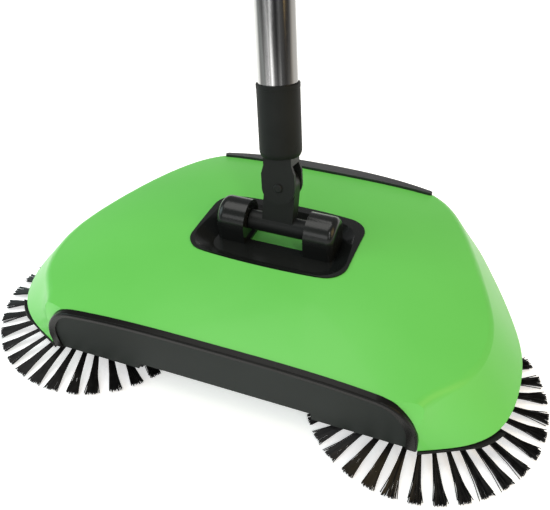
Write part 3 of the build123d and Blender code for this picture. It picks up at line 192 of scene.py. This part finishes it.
# %% [markdown]
# ## Finishes
# Moulded plastic is never one even colour: it has a fine skin from the mould, faint flow marks and small changes
# of gloss. The recipe below mixes two close colours by soft noise in Object coordinates, lets the same noise
# vary the roughness, and adds a shallow bump from a second, finer noise. The noise sizes are the real ones, in
# metres. The green cover is the first to be mixed by it.

# %% green plastic
def moulded(name, dark, light, blotch_size, gloss, gloss_change, grain_size, grain_height, shine=0.5, coat=0.0):
    """Plastic whose colour, gloss and skin change gently over the surface."""
    material, shader = new_material(name)
    tree = material.node_tree
    where = tree.nodes.new("ShaderNodeTexCoord")
    blotch = tree.nodes.new("ShaderNodeTexNoise")
    blotch.inputs["Scale"].default_value = 1.0 / blotch_size
    blotch.inputs["Detail"].default_value = 3.0
    tree.links.new(where.outputs["Object"], blotch.inputs["Vector"])
    colours = tree.nodes.new("ShaderNodeValToRGB")
    colours.color_ramp.elements[0].position = 0.3
    colours.color_ramp.elements[0].color = dark + (1.0,)
    colours.color_ramp.elements[1].position = 0.7
    colours.color_ramp.elements[1].color = light + (1.0,)
    tree.links.new(blotch.outputs["Fac"], colours.inputs["Fac"])
    tree.links.new(colours.outputs["Color"], shader.inputs["Base Color"])
    rough = tree.nodes.new("ShaderNodeMapRange")
    rough.inputs["To Min"].default_value = gloss - gloss_change
    rough.inputs["To Max"].default_value = gloss + gloss_change
    tree.links.new(blotch.outputs["Fac"], rough.inputs["Value"])
    tree.links.new(rough.outputs["Result"], shader.inputs["Roughness"])
    grain = tree.nodes.new("ShaderNodeTexNoise")
    grain.inputs["Scale"].default_value = 1.0 / grain_size
    grain.inputs["Detail"].default_value = 2.0
    tree.links.new(where.outputs["Object"], grain.inputs["Vector"])
    skin = tree.nodes.new("ShaderNodeBump")
    skin.inputs["Distance"].default_value = grain_height
    skin.inputs["Strength"].default_value = 0.6
    tree.links.new(grain.outputs["Fac"], skin.inputs["Height"])
    tree.links.new(skin.outputs["Normal"], shader.inputs["Normal"])
    shader.inputs["Specular IOR Level"].default_value = shine
    shader.inputs["Coat Weight"].default_value = coat
    shader.inputs["Coat Roughness"].default_value = 0.06
    print(name, "mixed with a roughness of", gloss)
    return material


shell_green = moulded("shell_green", (0.124, 0.520, 0.084), (0.138, 0.548, 0.096), 0.09, 0.36, 0.03, 0.004, 0.00002,
                      shine=0.26, coat=0.06)

# %% [markdown]
# The black pieces are not one black. The swivel plate is glossy, the front panel and the swivel are duller, the
# panel's sunk field is duller still and a little greener, and the socket, hubs and tray are matt.

# %% black plastics
gloss_black = moulded("gloss_black", (0.006, 0.007, 0.0065), (0.010, 0.011, 0.0105), 0.05, 0.22, 0.05, 0.003,
                      0.00002, shine=0.30)
field_black = moulded("field_black", (0.014, 0.017, 0.015), (0.020, 0.024, 0.022), 0.06, 0.46, 0.05, 0.0012,
                      0.00002, shine=0.06)
panel_black = moulded("panel_black", (0.005, 0.005, 0.0045), (0.008, 0.008, 0.0075), 0.06, 0.26, 0.05, 0.0012,
                      0.00002, shine=0.12)
satin_black = moulded("satin_black", (0.006, 0.007, 0.0065), (0.010, 0.011, 0.0105), 0.04, 0.45, 0.06, 0.0010,
                      0.00002, shine=0.18)
matt_black = moulded("matt_black", (0.007, 0.008, 0.0075), (0.012, 0.013, 0.0125), 0.03, 0.55, 0.07, 0.0008,
                     0.00003, shine=0.12)

# %% [markdown]
# The strip along the rear is a dark satin grey, and the works inside are plain grey and white mouldings. The grip
# and the tyres are rough and soft, and nylon bristle has a faint shine. The same recipe mixes them all with other
# numbers, because at this size only colour and gloss tell them apart.

# %% other plastics, rubber and bristle
strip_grey = moulded("strip_grey", (0.020, 0.021, 0.023), (0.030, 0.031, 0.034), 0.04, 0.42, 0.06, 0.0015, 0.00002,
                     shine=0.35)
inner_grey = moulded("inner_grey", (0.13, 0.13, 0.14), (0.17, 0.17, 0.18), 0.03, 0.5, 0.08, 0.0010, 0.00003)
gear_white = moulded("gear_white", (0.62, 0.62, 0.58), (0.70, 0.70, 0.66), 0.02, 0.38, 0.05, 0.0009, 0.00002)
soft_black = moulded("soft_black", (0.010, 0.010, 0.010), (0.018, 0.018, 0.018), 0.015, 0.72, 0.08, 0.0006, 0.00006,
                     shine=0.3)
tyre_black = moulded("tyre_black", (0.016, 0.016, 0.016), (0.026, 0.025, 0.024), 0.010, 0.78, 0.08, 0.0005, 0.00006,
                     shine=0.3)
bristle_black = moulded("bristle_black", (0.004, 0.004, 0.0045), (0.014, 0.014, 0.0145), 0.004, 0.40, 0.08, 0.0006,
                        0.00001, shine=0.3)

# %% [markdown]
# Metals need their own recipe. The axle, pins, screws and bushes are drawn or turned, and show fine faint
# streaks. Object coordinates are squeezed less along Z than across it by a Mapping node, so that the noise
# becomes upright streaks.

# %% plain metals
DARK_STREAK = 0.88
GLOSS_SPREAD = 0.3


def drawn_metal(name, tint, gloss, streak_width, streak_length):
    """Metal with fine upright streaks."""
    material, shader = new_material(name)
    tree = material.node_tree
    shader.inputs["Metallic"].default_value = 1.0
    where = tree.nodes.new("ShaderNodeTexCoord")
    squeeze = tree.nodes.new("ShaderNodeMapping")
    squeeze.inputs["Scale"].default_value = (1.0 / streak_width, 1.0 / streak_width, 1.0 / streak_length)
    tree.links.new(where.outputs["Object"], squeeze.inputs["Vector"])
    streaks = tree.nodes.new("ShaderNodeTexNoise")
    streaks.inputs["Scale"].default_value = 1.0
    streaks.inputs["Detail"].default_value = 3.0
    tree.links.new(squeeze.outputs["Vector"], streaks.inputs["Vector"])
    colours = tree.nodes.new("ShaderNodeValToRGB")
    colours.color_ramp.elements[0].position = 0.25
    colours.color_ramp.elements[0].color = tuple(DARK_STREAK * c for c in tint) + (1.0,)
    colours.color_ramp.elements[1].position = 0.75
    colours.color_ramp.elements[1].color = tint + (1.0,)
    tree.links.new(streaks.outputs["Fac"], colours.inputs["Fac"])
    tree.links.new(colours.outputs["Color"], shader.inputs["Base Color"])
    rough = tree.nodes.new("ShaderNodeMapRange")
    rough.inputs["To Min"].default_value = gloss * (1 - GLOSS_SPREAD)
    rough.inputs["To Max"].default_value = gloss * (1 + GLOSS_SPREAD)
    tree.links.new(streaks.outputs["Fac"], rough.inputs["Value"])
    tree.links.new(rough.outputs["Result"], shader.inputs["Roughness"])
    print(name, "drawn with streaks of", streak_width / MM, "mm")
    return material


plain_steel = drawn_metal("plain_steel", (0.52, 0.52, 0.53), 0.28, 0.0008, 0.01)
bush_brass = drawn_metal("bush_brass", (0.72, 0.52, 0.24), 0.30, 0.0006, 0.004)

# %% [markdown]
# Polished tube mirrors whatever stands round it as long bright and dark bands, all the way up. In a white studio
# there is nothing to mirror, so the bands are painted into the finish as painted reflections: a radial gradient gives
# the angle round the pole's own axis, a ramp turns that angle into painted reflection tones, and a little noise keeps
# the band edges alive.

# %% the pole's axis
POLE_FOOT = middle_of("pole_tube_1")
POLE_AXIS = (middle_of("pole_tube_3") - POLE_FOOT).normalized()
POLE_TURN = POLE_AXIS.to_track_quat("Z", "Y").to_euler()
print("pole leans", round(degrees(POLE_AXIS.angle(Vector((0, 0, 1)))), 1), "degrees")

# %% polished tube with painted reflection bands
# Each stop is a share of a full turn round the pole and the tone of the painted reflection there. The tones blend
# from stop to stop.
PAINTED_REFLECTION_BANDS = [(0.00, 0.28), (0.08, 0.15), (0.16, 0.60), (0.24, 0.15), (0.32, 0.70), (0.40, 0.20), (0.47, 0.50),
               (0.53, 0.55), (0.58, 0.50), (0.61, 0.10), (0.655, 0.15), (0.685, 0.95), (0.70, 0.28), (0.715, 0.95),
               (0.735, 0.15), (0.76, 0.05), (0.785, 0.22), (0.82, 0.09), (0.865, 0.07), (0.90, 0.26), (0.965, 0.26)]


def tube_with_painted_reflections(name):
    """Steel with painted reflection bands, whose tone changes with the angle round the pole's axis."""
    material, shader = new_material(name)
    tree = material.node_tree
    shader.inputs["Metallic"].default_value = 1.0
    where = tree.nodes.new("ShaderNodeTexCoord")
    centred = tree.nodes.new("ShaderNodeMapping")
    centred.vector_type = "TEXTURE"
    centred.inputs["Location"].default_value = POLE_FOOT
    centred.inputs["Rotation"].default_value = POLE_TURN
    tree.links.new(where.outputs["Object"], centred.inputs["Vector"])
    wander = tree.nodes.new("ShaderNodeTexNoise")
    wander.inputs["Scale"].default_value = 14.0
    tree.links.new(centred.outputs["Vector"], wander.inputs["Vector"])
    angle = tree.nodes.new("ShaderNodeTexGradient")
    angle.gradient_type = "RADIAL"
    tree.links.new(centred.outputs["Vector"], angle.inputs["Vector"])
    shifted = tree.nodes.new("ShaderNodeMath")
    shifted.operation = "MULTIPLY_ADD"
    shifted.inputs[1].default_value = 0.006
    tree.links.new(wander.outputs["Fac"], shifted.inputs[0])
    tree.links.new(angle.outputs["Fac"], shifted.inputs[2])
    # The painted reflection: one steel tone for each angle round the pole.
    bands = tree.nodes.new("ShaderNodeValToRGB")
    while len(bands.color_ramp.elements) < len(PAINTED_REFLECTION_BANDS):
        bands.color_ramp.elements.new(0.5)
    for element, (place, tone) in zip(bands.color_ramp.elements, PAINTED_REFLECTION_BANDS):
        element.position = place
        element.color = (tone, tone * 0.99, tone * 0.97, 1.0)
    tree.links.new(shifted.outputs["Value"], bands.inputs["Fac"])
    tree.links.new(bands.outputs["Color"], shader.inputs["Base Color"])
    streaks = tree.nodes.new("ShaderNodeTexNoise")
    streaks.inputs["Scale"].default_value = 900.0
    tree.links.new(centred.outputs["Vector"], streaks.inputs["Vector"])
    rough = tree.nodes.new("ShaderNodeMapRange")
    rough.inputs["To Min"].default_value = 0.10
    rough.inputs["To Max"].default_value = 0.20
    tree.links.new(streaks.outputs["Fac"], rough.inputs["Value"])
    tree.links.new(rough.outputs["Result"], shader.inputs["Roughness"])
    return material


# The tube's finish, with its reflection bands painted into the base colour.
tube_steel = tube_with_painted_reflections("tube_steel")
print("tube polished with", len(PAINTED_REFLECTION_BANDS), "bands")

# %% [markdown]
# Each solid already names the finish it takes in the record, so one loop dresses them all. The front panel and
# the swivel's three outer pieces are then given the duller blacks that were mixed for them.

# %% dress the solids
finishes = {"shell_green": shell_green, "gloss_black": gloss_black, "matt_black": matt_black,
            "strip_grey": strip_grey, "inner_grey": inner_grey, "gear_white": gear_white,
            "tube_steel": tube_steel, "plain_steel": plain_steel, "bush_brass": bush_brass,
            "tyre_black": tyre_black, "soft_black": soft_black, "bristle_black": bristle_black}
for part in frame["record"]["subparts"]:
    for material_slot in nodes[part["node"]].material_slots:
        material_slot.material = finishes[part["material_slot"]]
duller = {"front_fascia": panel_black, "swivel_neck": satin_black, "pole_fork": satin_black, "tilt_pin": satin_black}
for node, finish in duller.items():
    nodes[node].material_slots[0].material = finish
print("dressed", len(nodes), "solids,", len(duller), "of them in a duller black")

# %% [markdown]
# ## Side brushes
# Each brush carries 33 tufts of nylon filament. A tuft leaves its hole in the hub as a tight round bundle, dips
# to the floor and fans out, and its cut ends never line up. Hair would be quick to comb into this shape, but it
# has no faces to keep, so a filament is modelled as a triangle that is extruded three times along its path. Four
# different tufts are made this way and copied round the hub, so that neighbours rarely look alike.

# %% one filament
FILAMENT_RADIUS = 0.34 * MM


def start_mesh(name):
    """An empty mesh object, selected and in edit mode."""
    bpy.ops.object.select_all(action="DESELECT")
    mesh = bpy.data.meshes.new(name)
    piece = bpy.data.objects.new(name, mesh)
    bpy.context.scene.collection.objects.link(piece)
    bpy.context.view_layer.objects.active = piece
    piece.select_set(True)
    bpy.ops.object.mode_set(mode="EDIT")
    return piece


def add_filament(path, radius, across):
    """A triangle at the first point of a path, extruded to each next point. across turns it square to the path."""
    bpy.ops.mesh.select_all(action="DESELECT")
    bpy.ops.mesh.primitive_circle_add(vertices=3, radius=radius, fill_type="NGON", location=path[0], rotation=across)
    for here, there in zip(path, path[1:]):
        bpy.ops.mesh.extrude_region_move(TRANSFORM_OT_translate={"value": Vector(there) - Vector(here)})


print("filaments are", round(2 * FILAMENT_RADIUS / MM, 2), "mm thick")

# %% four tufts
TUFT_KINDS = 4
FILAMENTS_PER_TUFT = 46
TUFT_ROOT_REACH = 25.5 * MM
TUFT_TIP_REACH = 74.8 * MM
TUFT_ROOT_Z = 9.2 * MM
TUFT_TIP_Z = 1.75 * MM
TUFT_ROOT_RADIUS = 1.0 * MM
TUFT_LEAN = 1.2 * MM
TUFT_HALF_FAN = 4.0 * MM
TIP_SCATTER = 0.4 * MM
TIP_LIFT = 1.0 * MM
UNEVEN_CUT = 1.3 * MM
STRAY_SHARE = 0.05
STRAY_FAN = 1.4
THINNEST, THICKEST = 0.85, 1.1
# Along a filament: its share of the way from root to tip, and how far it has fanned out by then.
TUFT_COURSE = ((0.0, 0.0), (0.45, 0.18), (0.78, 0.55), (1.0, 1.0))
chance = random.Random(7)


def make_tuft(name):
    """A fan of filaments along +X, from the hub's hole to the floor."""
    tuft = start_mesh(name)
    lean = chance.uniform(-TUFT_LEAN, TUFT_LEAN)
    for k in range(FILAMENTS_PER_TUFT):
        spread = (k + 0.5) / FILAMENTS_PER_TUFT * 2 - 1
        stray = STRAY_FAN if chance.random() < STRAY_SHARE else 1.0
        turn = chance.uniform(0, 2 * pi)
        root_y = TUFT_ROOT_RADIUS * cos(turn)
        root_z = TUFT_ROOT_Z + TUFT_ROOT_RADIUS * sin(turn)
        tip_y = TUFT_HALF_FAN * spread * stray + chance.uniform(-TIP_SCATTER, TIP_SCATTER) + lean
        tip_z = TUFT_TIP_Z + chance.uniform(-TIP_LIFT, TIP_LIFT)
        tip_x = TUFT_TIP_REACH - abs(chance.gauss(0.0, UNEVEN_CUT))
        path = []
        for share, fan in TUFT_COURSE:
            path.append((TUFT_ROOT_REACH + (tip_x - TUFT_ROOT_REACH) * share, root_y + (tip_y - root_y) * fan,
                         root_z + (tip_z - root_z) * share))
        add_filament(path, FILAMENT_RADIUS * chance.uniform(THINNEST, THICKEST), (0, pi / 2, 0))
    bpy.ops.object.mode_set(mode="OBJECT")
    print(name, "has", len(tuft.data.polygons), "faces")
    return tuft


tuft_kinds = [make_tuft("tuft_kind_" + str(k)) for k in range(TUFT_KINDS)]

# %% [markdown]
# A tuft is copied round its hub with a mesh of its own for each copy, and the copies are joined, because one
# brush turns as one piece. The joined piece rides on the body that turns and replaces the plain solid tufts.

# %% brushes
TUFT_COUNT = 33
BRUSH_CENTRE_X = 114.7 * MM


def join_copies(name, placed):
    """A copy of each piece with its own mesh at its own place, all joined into one object."""
    bpy.ops.object.select_all(action="DESELECT")
    for kind, place in placed:
        mesh = kind.data.copy()
        mesh.transform(place)
        copy = bpy.data.objects.new(name, mesh)
        bpy.context.scene.collection.objects.link(copy)
        copy.select_set(True)
        bpy.context.view_layer.objects.active = copy
    bpy.ops.object.join()
    joined = bpy.context.object
    joined.name = name
    return joined


def finish_piece(piece, body, material):
    """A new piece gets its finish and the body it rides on."""
    piece.data.materials.clear()
    piece.data.materials.append(material)
    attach(piece, body)
    print(piece.name, "has", len(piece.data.polygons), "faces")


def make_brush(name, side, phase, body, node):
    """All tufts of one brush, round the hub at side 1 or -1, with the first one phase degrees past the front."""
    hub = Matrix.Translation((side * BRUSH_CENTRE_X, BRUSH_LINE_Y, 0))
    placed = []
    for k in range(TUFT_COUNT):
        kind = tuft_kinds[chance.randrange(len(tuft_kinds))]
        angle = radians(-90 + phase + k * 360 / TUFT_COUNT)
        placed.append((kind, hub @ Matrix.Rotation(angle, 4, "Z")))
    brush = join_copies(name, placed)
    finish_piece(brush, body, bristle_black)
    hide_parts(node)


make_brush("side_bristles_right", 1, -2.0, "brush_right", "brush_tufts_right")
make_brush("side_bristles_left", -1, 1.5, "brush_left", "brush_tufts_left")
for kind in tuft_kinds:
    bpy.data.objects.remove(kind)

# %% [markdown]
# ## Centre roller
# The roller throws dust back into the drawer. Its core carries six straight rows of the same filament, set
# shoulder to shoulder. One row is modelled straight up from the axle and copied every 60 degrees, so that the
# copies stand where the solid rows do, and then replace them.

# %% one row
ROW_HALF_LENGTH = 25.6 * MM
ROW_STEP = 0.85 * MM
ROW_ROOT = 8.8 * MM
ROW_TIP = 23.2 * MM
ROW_HALF_WIDTH = 0.75 * MM
WIDER_AT_ROOT, NARROWER_AT_TIP = 1.3, 0.9
ROW_UNEVEN_CUT = 0.35 * MM
ROW_DRIFT = 0.25 * MM

row = start_mesh("row_kind")
places = int(2 * ROW_HALF_LENGTH / ROW_STEP)
for k in range(places):
    along = -ROW_HALF_LENGTH + (k + 0.5) * ROW_STEP
    for back in (-ROW_HALF_WIDTH, 0.0, ROW_HALF_WIDTH):
        tip = ROW_TIP - abs(chance.gauss(0.0, ROW_UNEVEN_CUT))
        drift = chance.uniform(-ROW_DRIFT, ROW_DRIFT)
        path = [(along, back * WIDER_AT_ROOT, ROW_ROOT), (along + drift / 2, back, (ROW_ROOT + tip) / 2),
                (along + drift, back * NARROWER_AT_TIP, tip)]
        add_filament(path, FILAMENT_RADIUS, (0, 0, 0))
bpy.ops.object.mode_set(mode="OBJECT")
print("one row holds", 3 * places, "filaments")

# %% roller rows
ROW_COUNT = 6

axle_place = Matrix.Translation((0, BRUSH_LINE_Y, AXLE_Z))
row_angles = [radians((k + 0.5) * 360 / ROW_COUNT) for k in range(ROW_COUNT)]
roller_rows = join_copies("roller_rows", [(row, axle_place @ Matrix.Rotation(angle, 4, "X")) for angle in row_angles])
bpy.data.objects.remove(row)
finish_piece(roller_rows, "drive", bristle_black)
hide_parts("roller_bristles")

# %% [markdown]
# ## Satin field of the front panel
# The panel's raised lip has a sheen and the long field inside it is dull. Two finishes on one solid would need a
# mask by position, so the field gets a thin dull panel of its own. Its faces are copied from the panel's solid,
# so they fit its outline, and get a hair's thickness towards the front.

# %% copy the front panel
field = bpy.data.objects.new("front_field", nodes["front_fascia"].data.copy())
bpy.context.scene.collection.objects.link(field)
bpy.ops.object.select_all(action="DESELECT")
bpy.context.view_layer.objects.active = field
field.select_set(True)
bpy.ops.object.mode_set(mode="EDIT")
bpy.ops.mesh.select_all(action="SELECT")
bpy.ops.mesh.remove_doubles(threshold=0.01 * MM)
bpy.ops.mesh.select_mode(type="FACE")
bpy.ops.mesh.select_all(action="DESELECT")
bpy.ops.object.mode_set(mode="OBJECT")
print("the panel has", len(field.data.polygons), "faces")

# %% keep the faces of its field
FASCIA_LEAN = radians(4.6)
FACES_FRONT = 0.995
FIELD_DEPTH_FROM = 0.8 * MM
FIELD_DEPTH_TO = 2.2 * MM

facing = Vector((0, -cos(FASCIA_LEAN), -sin(FASCIA_LEAN)))
foremost = max(facing.dot(p.center) for p in field.data.polygons if p.normal.dot(facing) > FACES_FRONT)
for p in field.data.polygons:
    sunk = foremost - facing.dot(p.center)
    p.select = not (p.normal.dot(facing) > FACES_FRONT and FIELD_DEPTH_FROM < sunk < FIELD_DEPTH_TO)
bpy.ops.object.mode_set(mode="EDIT")
bpy.ops.mesh.delete(type="FACE")
bpy.ops.object.mode_set(mode="OBJECT")
print("its field has", len(field.data.polygons), "of them")

# %% thicken the field
FIELD_THICKNESS = 0.25 * MM

bpy.ops.object.mode_set(mode="EDIT")
bpy.ops.mesh.select_all(action="SELECT")
bpy.ops.mesh.dissolve_limited(angle_limit=radians(0.5))
bpy.ops.mesh.select_all(action="SELECT")
bpy.ops.mesh.extrude_region_move(TRANSFORM_OT_translate={"value": facing * FIELD_THICKNESS})
bpy.ops.mesh.select_all(action="SELECT")
bpy.ops.mesh.normals_make_consistent(inside=False)
bpy.ops.mesh.select_mode(type="VERT")
bpy.ops.object.mode_set(mode="OBJECT")
finish_piece(field, "base", field_black)
